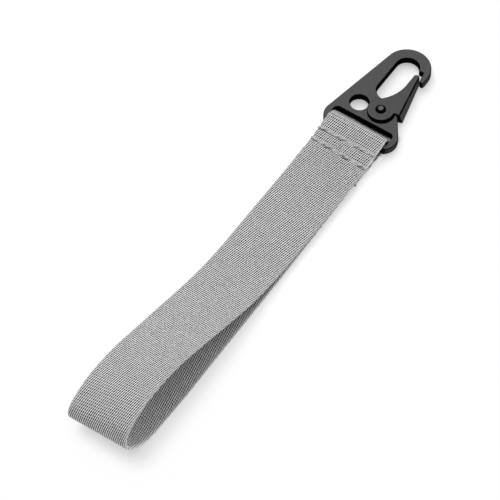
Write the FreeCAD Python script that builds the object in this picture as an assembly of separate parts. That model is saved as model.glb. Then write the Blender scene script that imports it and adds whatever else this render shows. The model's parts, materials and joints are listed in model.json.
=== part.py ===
import FreeCAD, Part
import math
import os

# A belt key clip: a hand loop of flat webbing sewn round the slot bar of a flat snap hook.
# Lengths are millimetres and angles are degrees. Each piece is drawn with X = 0 at the upper edge of the
# strap slot, +X towards the hook's tip, +Y away from the gate and Z = 0 on the table. At the end everything
# slides along X, so that the origin lies under the middle of the whole clip.

# Webbing: its section, and the gap left between layers that lie on each other
webbing_width = 25.0
webbing_thickness = 1.2
layer_gap = 0.1

# Hook plate: the slot and its bar
plate_thickness = 3.2
slot_height = 4.6
slot_side_clearance = 0.3
slot_corner_radius = 1.6
bar_height = 3.4
bar_round = 1.2
bar_clearance = 0.26
bar_end = 0.3

# Hook plate: the two lobes beside the slot, the ring hole, and the rounding of its edges
lobe_radius = 6.0
lobe_wall = 2.8
ring_hole_x = 6.0
ring_hole_y = 6.4
ring_hole_radius = 3.65
edge_round = 0.4

# Hook plate: the hooked top, the key opening inside it, and the nose
hook_centre_x = 30.2
hook_axis_y = 0.35
hook_outer_radius = 9.15
hook_band = 4.5
shoulder_offset = 1.2
nose_width = 2.0
nose_round = 1.0
nose_gap = 0.2

# Hook plate: the knuckle that the gate turns on, whose round edge is centred a little outside the pivot
pivot_x = 6.95
pivot_y = -2.5
knuckle_radius = 5.95
knuckle_drop = 0.35

# Gate: a folded sheet with two round cheeks, a spine and a narrow tip. The spine's tail leans out downwards.
gate_sheet = 0.9
cheek_gap = 0.12
cheek_radius = 5.2
spine_room = 0.6
tip_radius = 1.2
tip_gap = 2.7
tip_straight = 5.2
tail_offset = 1.3
tail_flare = 1.0
tail_undercut = 1.0
neck_round = 0.5
gate_edge_round = 0.3

# Pivot rivet
rivet_radius = 1.25
rivet_clearance = 0.06
rivet_head_radius = 2.05
rivet_head_height = 0.85
rivet_head_round = 0.65
rear_head_round = 0.2

# Gate spring: a torsion coil in an annular groove of the plate's rear face
wire_diameter = 0.45
coil_mean_radius = 2.6
coil_half_turns = 4
coil_pitch = 0.87
coil_side_room = 0.5
coil_end_room = 0.1
fixed_leg_length = 3.1
free_leg_along_spine = 4.0
spring_touch_gap = 0.08
leg_slot_room = 0.12
window_start_angle = -92
window_end_angle = -12

# Strap: the sewn stack beside the bar, measured from the middle of the bar
flap_length = 18.7
stack_reach = 13.7
inner_end_offset = 3.3
settle_radius = 30.0
step_margin = 0.5
step_radius = 14.0

# Strap: the hand loop, whose gate side stands taller than its other side
loop_reach = 165.0
loop_height_plain_side = 20.9
loop_height_gate_side = 25.6
plain_side_lift_angle = 16.5
gate_side_lift_angle = 21.0
lift_radius = 105.0
crown_rise_radius = 65.0
crown_fall_radius = 24.0
crown_fall_angle = 32
heel_radius = 20.0
heel_angle = 59

# Stitching: two rows of lockstitch across the strap
thread_radius = 0.28
row_offset = 6.3
row_spacing = 4.8
stitches_per_row = 8
row_edge_margin = 1.0
leg_spread = 0.9
leg_slant = 0.33
thread_bend = 0.4
thread_sink = 0.05

# How far a cutting solid runs past the face that it cuts
overrun = 1.0

# Heights that follow from the fold of webbing round the bar, which lies on the table
bar_sweep_radius = bar_round + math.hypot(bar_height / 2 - bar_round, plate_thickness / 2 - bar_round)
fold_inner_radius = bar_sweep_radius + bar_clearance
fold_middle_radius = fold_inner_radius + webbing_thickness / 2
fold_outer_radius = fold_inner_radius + webbing_thickness
bar_x = -slot_height - bar_height / 2
bar_z = fold_outer_radius
plate_bottom = bar_z - plate_thickness / 2
plate_top = bar_z + plate_thickness / 2

# Places on the hook plate that several pieces share
slot_half = webbing_width / 2 + slot_side_clearance
lobe_foot_x = -slot_height - bar_height
lobe_y = slot_half + lobe_wall - lobe_radius
lobe_x = lobe_foot_x + math.sqrt(lobe_radius ** 2 - (slot_half - lobe_y) ** 2)
knuckle_y = pivot_y - knuckle_drop
opening_radius = hook_outer_radius - hook_band
shoulder_x = hook_centre_x + shoulder_offset
nose_outer_y = hook_axis_y - hook_outer_radius

# The gate's spine is a straight line that passes the pivot at spine_reach and touches the tip's circle
spine_reach = knuckle_radius + knuckle_drop + spine_room + gate_sheet
tip_x = shoulder_x - tip_gap - tip_radius - pivot_x
tip_y = nose_outer_y + nose_width + nose_gap + tip_radius - pivot_y
spine_angle = math.degrees(
    math.atan2(tip_y, tip_x) + math.asin((spine_reach - tip_radius) / math.hypot(tip_x, tip_y))
)
gate_bottom = plate_bottom - cheek_gap - gate_sheet
gate_top = plate_top + cheek_gap + gate_sheet

# Where the spine's tail and tip lie along it, measured from its foot beside the pivot
spine_lean = math.radians(spine_angle)
tail_along = tail_offset / math.cos(spine_lean) - spine_reach * math.tan(spine_lean)
tip_along = tip_x * math.cos(spine_lean) + tip_y * math.sin(spine_lean)

up = FreeCAD.Vector(0, 0, 1)


def at(x, y, z=0):
    return FreeCAD.Vector(x, y, z)


def polar(radius, angle):
    """The point at a radius and an angle in degrees from +X, in the XY plane."""
    return at(radius * math.cos(math.radians(angle)), radius * math.sin(math.radians(angle)))


def line(start, end):
    return Part.makeLine(start, end)


def arc(centre, radius, start, end):
    """The edge of a circle in the XY plane, anticlockwise from the start angle to the end angle."""
    circle = Part.Circle(centre, up, radius)
    return Part.ArcOfCircle(circle, math.radians(start), math.radians(end)).toShape()


def prism(edges, bottom, top):
    """A solid with the outline that the edges close, from one height to another."""
    outline = Part.Wire(Part.__sortEdges__(edges))
    face = Part.Face(outline)
    face.translate(at(0, 0, bottom))
    return face.extrude(at(0, 0, top - bottom))


def cylinder(radius, bottom, top, x=0, y=0):
    return Part.makeCylinder(radius, top - bottom, at(x, y, bottom))


def tangent_normal(first, first_radius, second, second_radius, side):
    """The angle of the outward normal of the line that touches two circles on one side of them."""
    reach = second - first
    lean = math.degrees(math.acos((first_radius - second_radius) / reach.Length))
    return math.degrees(math.atan2(reach.y, reach.x)) + side * lean


def level_edges(solid, height):
    """The edges of a solid that lie wholly at one height."""
    slack = overrun / 1000
    boxes = [(edge, edge.BoundBox) for edge in solid.Edges]
    return [e for e, box in boxes if max(abs(box.ZMin - height), abs(box.ZMax - height)) < slack]


def spine_point(along, inward):
    """A point by the gate's spine, seen from the pivot: along it from its foot, and inward from its face."""
    foot = polar(spine_reach - inward, spine_angle - 90)
    return foot + polar(along, spine_angle)


def spine_flare(along, height):
    """How far the spine leans out at a place: most at the tail's bottom, nothing at its top or at the tip."""
    share = (tip_along - along) / (tip_along - tail_along)
    return tail_flare * share * (gate_top - height) / (gate_top - gate_bottom)


def plate_outline():
    """The hook plate's edge: lobes, flanks, hooked top, nose, key opening and knuckle, with the slot open."""
    pivot = at(pivot_x, pivot_y)
    knuckle = at(pivot_x, knuckle_y)
    hook = at(hook_centre_x, hook_axis_y)
    lobe_left = at(lobe_x, lobe_y)
    lobe_right = at(lobe_x, -lobe_y)
    flank_left = tangent_normal(lobe_left, lobe_radius, hook, hook_outer_radius, 1)
    flank_right = tangent_normal(lobe_right, lobe_radius, knuckle, knuckle_radius, -1)

    # The round bottom of the key opening meets the knuckle tangentially
    across = hook_axis_y - knuckle_y
    along = math.sqrt((opening_radius + knuckle_radius) ** 2 - across ** 2)
    opening_foot = at(knuckle.x + along, hook_axis_y)
    knuckle_top = math.degrees(math.atan2(across, along))

    # The nose's inner side lies parallel to the spine, and its end is round
    nose_side = pivot + spine_point(0, -nose_gap)
    slope = math.tan(math.radians(spine_angle))
    level = nose_outer_y + nose_round
    round_line = pivot + spine_point(0, -nose_gap - nose_round)
    nose_end = at(round_line.x + (level - round_line.y) / slope, level)
    nose_inner = nose_end + polar(nose_round, spine_angle + 90)
    shoulder_foot = at(shoulder_x, nose_side.y + (shoulder_x - nose_side.x) * slope)
    shoulder_angle = -math.degrees(math.acos(shoulder_offset / opening_radius))

    # The slot is left open downwards here, and the bar closes it later
    lobe_end = math.degrees(math.asin((slot_half - lobe_y) / lobe_radius))
    corner = slot_half - slot_corner_radius
    return [
        arc(lobe_left, lobe_radius, flank_left, 180 - lobe_end),
        line(lobe_left + polar(lobe_radius, flank_left), hook + polar(hook_outer_radius, flank_left)),
        arc(hook, hook_outer_radius, -90, flank_left),
        line(at(hook_centre_x, nose_outer_y), at(nose_end.x, nose_outer_y)),
        arc(nose_end, nose_round, spine_angle + 90, 270),
        line(nose_inner, shoulder_foot),
        line(shoulder_foot, hook + polar(opening_radius, shoulder_angle)),
        arc(hook, opening_radius, shoulder_angle, 90),
        line(hook + polar(opening_radius, 90), opening_foot + polar(opening_radius, 90)),
        arc(opening_foot, opening_radius, 90, 180 + knuckle_top),
        arc(knuckle, knuckle_radius, flank_right, knuckle_top),
        line(knuckle + polar(knuckle_radius, flank_right), lobe_right + polar(lobe_radius, flank_right)),
        arc(lobe_right, lobe_radius, lobe_end - 180, flank_right),
        line(at(lobe_foot_x, -slot_half), at(-slot_corner_radius, -slot_half)),
        arc(at(-slot_corner_radius, -corner), slot_corner_radius, -90, 0),
        line(at(0, -corner), at(0, corner)),
        arc(at(-slot_corner_radius, corner), slot_corner_radius, 0, 90),
        line(at(-slot_corner_radius, slot_half), at(lobe_foot_x, slot_half)),
    ]


def slot_bar():
    """The bar that the webbing folds round: a rounded rectangle that ends inside the lobes."""
    half = slot_half + bar_end
    block = Part.makeBox(
        bar_height, 2 * half, plate_thickness, at(bar_x - bar_height / 2, -half, plate_bottom)
    )
    long_edges = [e for e in block.Edges if e.BoundBox.YLength > half]
    return block.makeFillet(bar_round, long_edges)


def spring_room():
    """What is cut for the spring: a groove round a boss, a slot for one leg and a window for the other."""
    inner = coil_mean_radius - wire_diameter / 2 - coil_side_room
    outer = coil_mean_radius + wire_diameter / 2 + coil_side_room
    low = plate_bottom - overrun
    high = spring_top() + wire_diameter / 2 + coil_end_room
    groove = cylinder(outer, low, high).cut(cylinder(inner, low, high))

    start, end = fixed_leg()
    way = (end - start).normalize()
    side = at(-way.y, way.x) * (wire_diameter / 2 + leg_slot_room)
    far = end + way * leg_slot_room
    corners = [start + side, far + side, far - side, start - side, start + side]
    slot = prism([line(flat(a), flat(b)) for a, b in zip(corners, corners[1:])], low, high)

    window_top = spring_bottom() + wire_diameter / 2 + leg_slot_room
    reach = knuckle_radius + knuckle_drop + overrun
    sector = prism(
        [
            line(at(0, 0), polar(reach, window_start_angle)),
            arc(at(0, 0), reach, window_start_angle, window_end_angle),
            line(polar(reach, window_end_angle), at(0, 0)),
        ],
        low,
        window_top,
    )
    window = sector.cut(cylinder(inner, low, window_top))
    room = groove.fuse(slot).fuse(window)
    room.translate(at(pivot_x, pivot_y))
    return room


def hook_plate():
    plate = prism(plate_outline(), plate_bottom, plate_top)
    below = plate_bottom - overrun
    above = plate_top + overrun
    plate = plate.cut(cylinder(ring_hole_radius, below, above, ring_hole_x, ring_hole_y))
    plate = plate.makeFillet(edge_round, level_edges(plate, plate_top) + level_edges(plate, plate_bottom))
    plate = plate.fuse(slot_bar()).removeSplitter()
    plate = plate.cut(cylinder(rivet_radius + rivet_clearance, below, above, pivot_x, pivot_y))
    return plate.cut(spring_room()).Solids[0]


def gate_outline(height):
    """The gate's edge at a height, seen from the pivot: round end, hollow inner side, tip, spine and tail."""
    tip = at(tip_x, tip_y)
    inner_y = tip_y + tip_radius
    hollow_x = tip_x - tip_straight
    # The hollow touches both the straight by the tip and the round end
    hollow_radius = (hollow_x ** 2 + inner_y ** 2 - cheek_radius ** 2) / (2 * (cheek_radius - inner_y))
    hollow = at(hollow_x, inner_y + hollow_radius)
    join = math.degrees(math.atan2(hollow.y, hollow.x))
    neck_x = tail_offset - neck_round
    neck = at(neck_x, -math.sqrt((cheek_radius + neck_round) ** 2 - neck_x ** 2))
    neck_angle = math.degrees(math.atan2(neck.y, neck.x))
    along = tail_along + tail_undercut * (gate_top - height) / (gate_top - gate_bottom)
    tail = spine_point(along, -spine_flare(along, height))
    edges = [
        arc(at(0, 0), cheek_radius, join, 360 + neck_angle),
        arc(neck, neck_round, 0, 180 + neck_angle),
        line(at(tail_offset, neck.y), tail),
        line(tail, tip + polar(tip_radius, spine_angle - 90)),
        arc(tip, tip_radius, spine_angle - 90, 90),
        line(at(tip_x, inner_y), at(hollow_x, inner_y)),
        arc(hollow, hollow_radius, 180 + join, 270),
    ]
    outline = Part.Wire(Part.__sortEdges__(edges))
    outline.translate(at(0, 0, height))
    return outline


def cheek_room(height):
    """The edge of what is open between the cheeks, at a height: everything inside the spine."""
    start = tail_along - overrun
    end = tip_along + tip_radius + overrun
    start_inward = gate_sheet - spine_flare(start, height)
    end_inward = gate_sheet - spine_flare(end, height)
    corners = [
        spine_point(-2 * cheek_radius, start_inward),
        spine_point(start, start_inward),
        spine_point(end, end_inward),
        spine_point(end, 2 * spine_reach),
        spine_point(-2 * cheek_radius, 2 * spine_reach),
    ]
    return Part.makePolygon([corner + at(0, 0, height) for corner in corners + corners[:1]])


def gate():
    solid = Part.makeLoft([gate_outline(gate_bottom), gate_outline(gate_top)], True, True)
    solid = solid.makeFillet(
        gate_edge_round, level_edges(solid, gate_bottom) + level_edges(solid, gate_top)
    )
    room = [cheek_room(gate_bottom + gate_sheet), cheek_room(gate_top - gate_sheet)]
    solid = solid.cut(Part.makeLoft(room, True, True))
    solid = solid.cut(cylinder(rivet_radius, gate_bottom - overrun, gate_top + overrun))
    solid.translate(at(pivot_x, pivot_y))
    return solid.Solids[0]


def pivot_rivet():
    """The rivet: a shank with a low head under the rear cheek and a raised, set head over the front one."""
    front_top = gate_top + rivet_head_height
    rear = cylinder(rivet_head_radius, 0, gate_bottom)
    rear = rear.makeFillet(rear_head_round, level_edges(rear, 0))
    front = cylinder(rivet_head_radius, gate_top, front_top)
    front = front.makeFillet(rivet_head_round, level_edges(front, front_top))
    shank = cylinder(rivet_radius, gate_bottom, gate_top)
    solid = shank.fuse(rear).fuse(front).removeSplitter()
    solid.translate(at(pivot_x, pivot_y))
    return solid.Solids[0]


def spring_bottom():
    """Height of the wire's middle at the coil's rear end, where the free leg leaves."""
    return plate_bottom + coil_end_room + wire_diameter / 2


def spring_top():
    """Height of the wire's middle at the coil's deep end, where the fixed leg leaves."""
    return spring_bottom() + coil_half_turns * coil_pitch / 2


def flat(point):
    return at(point.x, point.y)


def free_leg_end():
    """Where the free leg stops, just inside the spine."""
    inward = gate_sheet + spring_touch_gap + wire_diameter / 2
    return spine_point(free_leg_along_spine, inward - spine_flare(free_leg_along_spine, spring_bottom()))


def coil_start_angle():
    """Where the line from the free leg's end touches the coil, so that opening the gate tightens the coil."""
    end = free_leg_end()
    swing = math.degrees(math.acos(coil_mean_radius / end.Length))
    return math.degrees(math.atan2(end.y, end.x)) - swing


def coil_end_angle():
    return coil_start_angle() - 180 * coil_half_turns


def fixed_leg():
    """The fixed leg's two ends: it leaves the coil's deep end along its tangent."""
    angle = coil_end_angle()
    height = at(0, 0, spring_top())
    start = polar(coil_mean_radius, angle) + height
    return start, start + polar(fixed_leg_length, angle - 90)


def gate_spring():
    """The torsion spring: a straight free leg, a coil of half-turn arcs that climb evenly, a fixed leg."""
    turns = []
    for index in range(coil_half_turns):
        points = []
        for quarter in range(3):
            angle = coil_start_angle() - 180 * index - 90 * quarter
            climb = (2 * index + quarter) * coil_pitch / 4
            points.append(polar(coil_mean_radius, angle) + at(0, 0, spring_bottom() + climb))
        turns.append(Part.Arc(*points).toShape())
    free_end = free_leg_end() + at(0, 0, spring_bottom())
    coil_start = turns[0].Vertexes[0].Point
    start, end = fixed_leg()
    path = Part.Wire([line(free_end, coil_start)] + turns + [line(start, end)])
    profile = Part.Wire(Part.makeCircle(wire_diameter / 2, free_end, coil_start - free_end))
    solid = path.makePipeShell([profile], True, False)
    solid.translate(at(pivot_x, pivot_y))
    report_self_gap("gate_spring", path, wire_diameter)
    return Part.Solid(solid.Shells[0])


def report_self_gap(name, path, diameter):
    """Print the least gap between stretches of a tube that lie more than half a turn apart along it."""
    points = path.discretize(Distance=diameter / 2)
    apart = int(2 * math.pi * coil_mean_radius / diameter)
    least = min(
        (points[i] - points[j]).Length for i in range(len(points)) for j in range(i + apart, len(points))
    )
    print(name, "least gap to itself", round(least - diameter, 3), "mm")


class Track:
    """A strip's middle line, drawn in the XZ plane as straight runs and tangent arcs."""

    def __init__(self, x, z, heading):
        self.x, self.z, self.heading = x, z, heading
        self.steps = []

    def run(self, length):
        start = (self.x, self.z)
        self.x += length * math.cos(math.radians(self.heading))
        self.z += length * math.sin(math.radians(self.heading))
        self.steps.append(("run", start, (self.x, self.z), self.heading))

    def bend(self, radius, turn):
        """An arc that turns left for a positive turn and right for a negative one."""
        side = math.copysign(1, turn)
        normal = math.radians(self.heading + 90 * side)
        centre = (self.x + radius * math.cos(normal), self.z + radius * math.sin(normal))
        self.steps.append(("bend", centre, radius, side, self.heading, self.heading + turn))
        self.heading += turn
        last = math.radians(self.heading + 90 * side)
        self.x = centre[0] - radius * math.cos(last)
        self.z = centre[1] - radius * math.sin(last)

    def length(self):
        total = 0
        for step in self.steps:
            if step[0] == "run":
                total += math.dist(step[1], step[2])
            else:
                total += step[2] * abs(math.radians(step[5] - step[4]))
        return total

    def edges(self, y, offset):
        """The line at one side of the strip, moved to the left of travel by an offset."""
        found = []
        for step in self.steps:
            if step[0] == "run":
                _, start, end, heading = step
                normal = math.radians(heading + 90)
                aside = at(offset * math.cos(normal), y, offset * math.sin(normal))
                found.append(line(at(start[0], 0, start[1]) + aside, at(end[0], 0, end[1]) + aside))
            else:
                _, centre, radius, side, first, last = step
                points = []
                for heading in (first, (first + last) / 2, last):
                    normal = math.radians(heading - 90 * side)
                    reach = radius - side * offset
                    points.append(
                        at(centre[0] + reach * math.cos(normal), y, centre[1] + reach * math.sin(normal))
                    )
                found.append(Part.Arc(*points).toShape())
        return found


def strap_track(loop_height, lift_angle):
    """The webbing's middle line at one side: flap, fold round the bar, stack, hand loop, and inner end."""
    half = webbing_thickness / 2
    layer = webbing_thickness + layer_gap
    flap_end_x = bar_x - flap_length
    top_z = half + 2 * layer
    inner_z = half + layer
    lift = math.radians(lift_angle)

    # The fall from the fold to the stack touches the fold
    settle_x = bar_x - stack_reach
    fall = math.degrees(
        math.asin(fold_middle_radius / math.hypot(stack_reach, bar_z - top_z))
        + math.atan2(bar_z - top_z, stack_reach)
    )
    settle = settle_radius * math.tan(math.radians(fall / 2))
    fold_end_x = bar_x - fold_middle_radius * math.sin(math.radians(fall))
    fall_run = (fold_end_x - settle_x) / math.cos(math.radians(fall)) - settle

    # The loop rises to its crown and comes down to the table again
    rise = loop_height - half - top_z
    slope_run = (rise - (lift_radius + crown_rise_radius) * (1 - math.cos(lift))) / math.sin(lift)
    crown_fall = math.radians(crown_fall_angle)
    heel = math.radians(heel_angle)
    drop = loop_height - 2 * half
    drop -= crown_fall_radius * (1 - math.cos(crown_fall)) + heel_radius * (1 - math.cos(heel))
    end_radius = drop / (math.cos(crown_fall) + math.cos(heel))
    past_crown = crown_fall_radius * math.sin(crown_fall) + end_radius * (1 - math.sin(crown_fall))
    before_crown = (lift_radius + crown_rise_radius) * math.sin(lift) + slope_run * math.cos(lift)
    lift_x = bar_x - loop_reach + half + past_crown + before_crown

    track = Track(flap_end_x, half, 0)
    track.run(flap_length)
    track.bend(fold_middle_radius, 180 + fall)
    track.run(fall_run)
    track.bend(settle_radius, -fall)
    track.run(track.x - lift_x)
    track.bend(lift_radius, -lift_angle)
    track.run(slope_run)
    track.bend(crown_rise_radius, lift_angle)
    track.bend(crown_fall_radius, crown_fall_angle)
    track.bend(end_radius, 180 - crown_fall_angle - heel_angle)
    track.bend(heel_radius, heel_angle)

    # The way back lies on the table, steps up over the flap's end and stops short of the bar
    step_angle = math.degrees(math.acos(1 - (inner_z - half) / (2 * step_radius)))
    step_reach = 2 * step_radius * math.sin(math.radians(step_angle))
    step_x = flap_end_x - step_margin - step_reach
    track.run(step_x - track.x)
    track.bend(step_radius, step_angle)
    track.bend(step_radius, -step_angle)
    track.run(bar_x - inner_end_offset - track.x)
    return track


def strip_face(first, second):
    """The face between like edges at the strap's two sides: flat where both are straight and level."""
    a, b = (edge.Vertexes[0].Point for edge in (first, second))
    c, d = (edge.Vertexes[-1].Point for edge in (first, second))
    straight = all(isinstance(edge.Curve, Part.Line) for edge in (first, second))
    level = max(p.z for p in (a, b, c, d)) - min(p.z for p in (a, b, c, d)) < layer_gap / 1000
    if straight and level:
        return Part.Face(Part.makePolygon([a, c, d, b, a]))
    return Part.makeRuledSurface(first, second)


def webbing_strap():
    half_width = webbing_width / 2
    half = webbing_thickness / 2
    plain = strap_track(loop_height_plain_side, plain_side_lift_angle)
    gated = strap_track(loop_height_gate_side, gate_side_lift_angle)
    print("webbing length", round(plain.length(), 2), round(gated.length(), 2), "mm")
    faces = []
    sides = []
    for offset in (half, -half):
        first = plain.edges(half_width, offset)
        second = gated.edges(-half_width, offset)
        faces += [strip_face(a, b) for a, b in zip(first, second)]
        sides.append((first, second))
    for index in (0, 1):
        left, right = sides[0][index], sides[1][index]
        ends = [
            line(left[0].Vertexes[0].Point, right[0].Vertexes[0].Point),
            line(left[-1].Vertexes[-1].Point, right[-1].Vertexes[-1].Point),
        ]
        faces.append(Part.Face(Part.Wire(Part.__sortEdges__(left + right + ends))))
    for end in (0, -1):
        corners = [sides[a][b][end].Vertexes[end].Point for a, b in ((0, 0), (0, 1), (1, 1), (1, 0))]
        faces.append(Part.Face(Part.makePolygon(corners + corners[:1])))
    shell = Part.makeShell(faces)
    shell.sewShape()
    solid = Part.Solid(shell)
    if solid.Volume < 0:
        solid.reverse()
    return solid


def strap_top(x):
    """Height of the upper layer's face at a place in the stack, on the straight fall from the fold."""
    top_z = webbing_thickness / 2 + 2 * (webbing_thickness + layer_gap)
    fall = math.asin(fold_middle_radius / math.hypot(stack_reach, bar_z - top_z))
    fall += math.atan2(bar_z - top_z, stack_reach)
    middle = top_z + (x - (bar_x - stack_reach)) * math.tan(fall)
    return middle + webbing_thickness / 2 / math.cos(fall)


def rounded_wire(points, radius):
    """Straight runs through the points, joined by tangent arcs of one radius."""
    edges = []
    start = points[0]
    for before, corner, after in zip(points, points[1:], points[2:]):
        come = (corner - before).normalize()
        go = (after - corner).normalize()
        turn = come.getAngle(go)
        cut = radius * math.tan(turn / 2)
        middle = corner + (go - come).normalize() * (radius / math.cos(turn / 2) - radius)
        edges.append(line(start, corner - come * cut))
        edges.append(Part.Arc(corner - come * cut, middle, corner + go * cut).toShape())
        start = corner + go * cut
    edges.append(line(start, points[-1]))
    return Part.Wire(edges)


def stitch_thread(row_x, face_z, lock_z, slant):
    """One thread of a stitch row: it runs along a face and dips to the lock in each needle hole."""
    row_half = webbing_width / 2 - row_edge_margin
    pitch = 2 * row_half / stitches_per_row
    points = [at(row_x - slant, -row_half + leg_spread / 2, lock_z)]
    for index in range(stitches_per_row):
        hole = -row_half + pitch * index
        near, far = hole + leg_spread / 2, hole + pitch - leg_spread / 2
        points += [at(row_x - slant, near, face_z), at(row_x + slant, far, face_z)]
        points += [at(row_x + slant, far, lock_z)]
        if index < stitches_per_row - 1:
            points += [at(row_x - slant, far + leg_spread, lock_z)]
    path = rounded_wire(points, thread_bend)
    profile = Part.Wire(Part.makeCircle(thread_radius, points[0], points[1] - points[0]))
    return Part.Solid(path.makePipeShell([profile], True, False).Shells[0])


def stitch_row(row_x):
    """The needle thread and the bobbin thread of one row, locked through each other halfway down."""
    top = strap_top(row_x) - thread_sink
    bottom = thread_radius + thread_sink
    middle = (top + bottom) / 2
    needle = stitch_thread(row_x, top, middle - thread_bend, leg_slant)
    bobbin = stitch_thread(row_x, bottom, middle + thread_bend, -leg_slant)
    return needle, bobbin


upper_row_x = bar_x - row_offset
lower_row_x = upper_row_x - row_spacing
upper_needle, upper_bobbin = stitch_row(upper_row_x)
lower_needle, lower_bobbin = stitch_row(lower_row_x)

pieces = {
    "hook_plate": hook_plate(),
    "gate": gate(),
    "pivot_rivet": pivot_rivet(),
    "gate_spring": gate_spring(),
    "webbing_strap": webbing_strap(),
    "upper_row_needle_thread": upper_needle,
    "upper_row_bobbin_thread": upper_bobbin,
    "lower_row_needle_thread": lower_needle,
    "lower_row_bobbin_thread": lower_bobbin,
}

# The origin goes under the middle of the whole clip
tip_end = hook_centre_x + hook_outer_radius
loop_end = bar_x - loop_reach
shift = at(-(tip_end + loop_end) / 2, 0)

os.makedirs("parts", exist_ok=True)
for name, shape in pieces.items():
    shape.translate(shift)
    shape.exportStep(os.path.join("parts", name + ".step"))
    box = shape.BoundBox
    print(
        name, shape.ShapeType, "valid", shape.isValid(), "solids", len(shape.Solids),
        "volume", round(shape.Volume, 2), "z", round(box.ZMin, 3), round(box.ZMax, 3),
        "x", round(box.XMin, 3), round(box.XMax, 3),
    )

print("slot edge x", round(shift.x, 3), "bar axis", round(shift.x + bar_x, 3), round(bar_z, 3))
print("pivot", round(shift.x + pivot_x, 3), pivot_y, "plate z", round(plate_bottom, 3), round(plate_top, 3))
print("ring hole", round(shift.x + ring_hole_x, 3), ring_hole_y, "spine angle", round(spine_angle, 3))
print("rows at x", round(shift.x + upper_row_x, 3), round(shift.x + lower_row_x, 3))
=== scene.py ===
import json
import math

import bpy
import numpy as np
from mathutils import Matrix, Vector


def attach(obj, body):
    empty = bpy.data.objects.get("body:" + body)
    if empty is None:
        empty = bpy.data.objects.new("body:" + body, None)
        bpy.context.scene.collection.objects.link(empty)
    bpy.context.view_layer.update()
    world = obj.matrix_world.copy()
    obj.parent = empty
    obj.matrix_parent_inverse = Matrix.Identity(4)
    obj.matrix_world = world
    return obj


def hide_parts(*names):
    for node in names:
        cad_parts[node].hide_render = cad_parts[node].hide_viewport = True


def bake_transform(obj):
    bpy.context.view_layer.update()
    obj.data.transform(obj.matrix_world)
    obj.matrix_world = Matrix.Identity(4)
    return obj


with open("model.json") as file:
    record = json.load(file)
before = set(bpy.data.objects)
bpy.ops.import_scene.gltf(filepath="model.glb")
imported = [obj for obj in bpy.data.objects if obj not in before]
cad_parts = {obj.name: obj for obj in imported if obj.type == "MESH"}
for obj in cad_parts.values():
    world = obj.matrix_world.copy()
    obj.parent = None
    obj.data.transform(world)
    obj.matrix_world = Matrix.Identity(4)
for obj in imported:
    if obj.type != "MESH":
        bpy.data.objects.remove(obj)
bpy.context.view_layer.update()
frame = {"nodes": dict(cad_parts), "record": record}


# Hook plate: a flat zinc die casting with a slot and bar for the webbing, a ring hole and a hooked top.
# It is tumbled, blasted and coated satin black, so its flats carry a fine grain, its walls and rounded edges
# stay smoother, and the coat is rubbed thin here and there along the edges. Its walls and rounded edges are
# painted darker as shade and dark reflection, the rubbed places carry painted highlights too, its walls
# towards -Y are painted lighter as light from that side, and a painted shadow lies beside the gate's cheek.
class Shade:
    """One output socket of a node tree. Arithmetic on it adds Math nodes."""

    def __init__(self, tree, socket=None):
        self.tree = tree
        self.socket = socket

    def node(self, kind, sockets=None, out=0, **settings):
        """Adds a node of one type: first its settings, then the values or links of its sockets."""
        made = self.tree.nodes.new("ShaderNode" + kind)
        for name, value in settings.items():
            setattr(made, name, value)
        for name, value in (sockets or {}).items():
            if isinstance(value, Shade):
                self.tree.links.new(value.socket, made.inputs[name])
            else:
                made.inputs[name].default_value = value
        return Shade(self.tree, made.outputs[out] if len(made.outputs) else None)

    def math(self, operation, *values):
        """A Math node on values or sockets."""
        return self.node("Math", dict(enumerate(values)), operation=operation)

    def __add__(self, other):
        return self.math("ADD", self, other)

    def __sub__(self, other):
        return self.math("SUBTRACT", self, other)

    def __rsub__(self, other):
        return self.math("SUBTRACT", other, self)

    def __mul__(self, other):
        return self.math("MULTIPLY", self, other)

    def __pow__(self, other):
        return self.math("POWER", self, other)

    def __abs__(self):
        return self.math("ABSOLUTE", self)

    __radd__ = __add__
    __rmul__ = __mul__

    def part(self, axis):
        """The X, Y or Z of a vector."""
        return self.node("SeparateXYZ", {"Vector": self}, out=axis)

    def soft_step(self, low, high):
        """From 0 at low to 1 at high, smoothly."""
        sockets = {"Value": self, "From Min": low, "From Max": high}
        return self.node("MapRange", sockets, interpolation_type="SMOOTHSTEP")

    def noise(self, size, detail=2.0):
        """Cloudy noise over a vector, with blotches of about one size in metres, from 0 to 1."""
        return self.node("TexNoise", {"Vector": self, "Scale": 1 / size, "Detail": detail})

    def tint(self, first, second):
        """The colour between two colours, by this value from 0 to 1. Each is three numbers or a socket."""
        ends = [c if isinstance(c, Shade) else (*c, 1.0) for c in (first, second)]
        return self.node("Mix", {0: self, 6: ends[0], 7: ends[1]}, out=2, data_type="RGBA")

    def bump(self, distance):
        """The normal of a surface raised by this height from 0 to 1, times a distance in metres."""
        return self.node("Bump", {"Height": self, "Distance": distance})


def start_material(name):
    """An empty node material, and the handle that its nodes come from."""
    material = bpy.data.materials.new(name)
    material.use_nodes = True
    material.node_tree.nodes.clear()
    return material, Shade(material.node_tree)


def close_material(shade, sockets):
    """Feeds the Principled shader and the material's output."""
    surface = shade.node("BsdfPrincipled", sockets)
    shade.node("OutputMaterial", {"Surface": surface})


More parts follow.
